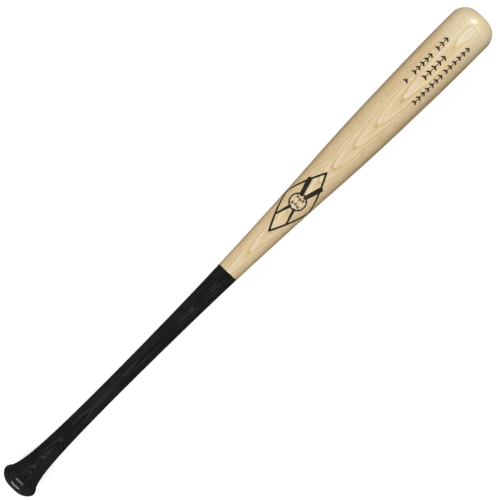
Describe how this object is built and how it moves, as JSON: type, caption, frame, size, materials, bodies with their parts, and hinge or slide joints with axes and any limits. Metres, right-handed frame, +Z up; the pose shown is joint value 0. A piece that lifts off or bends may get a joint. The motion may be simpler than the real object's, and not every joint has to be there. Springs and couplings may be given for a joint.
{
  "type": "baseball bat",
  "caption": "One-piece turned wooden bat with a knobbed, black-dipped handle, a clear-lacquered rounded barrel and pressed foil marks.",
  "frame": {"origin": "centre of the knob's flat end face, on the bat's axis", "axes": "+X along the bat's axis from the knob to the barrel end, +Z up through the middle of the label side, +Y across"},
  "size_m": [0.8636, 0.0642, 0.0642],
  "materials": {
    "ash": "satin",
    "black_lacquer": "satin",
    "clear_lacquer": "gloss",
    "black_foil": "satin"
  },
  "bodies": {
    "root": {"ash_billet": "ash", "black_handle_finish": "black_lacquer", "clear_barrel_finish": "clear_lacquer", "diamond_mark_foil": "black_foil", "upper_stitch_foil_1": "black_foil", "upper_stitch_foil_2": "black_foil", "upper_stitch_foil_3": "black_foil", "middle_stitch_foil": "black_foil", "lower_stitch_foil_1": "black_foil", "lower_stitch_foil_2": "black_foil"}
  },
  "joints": []
}
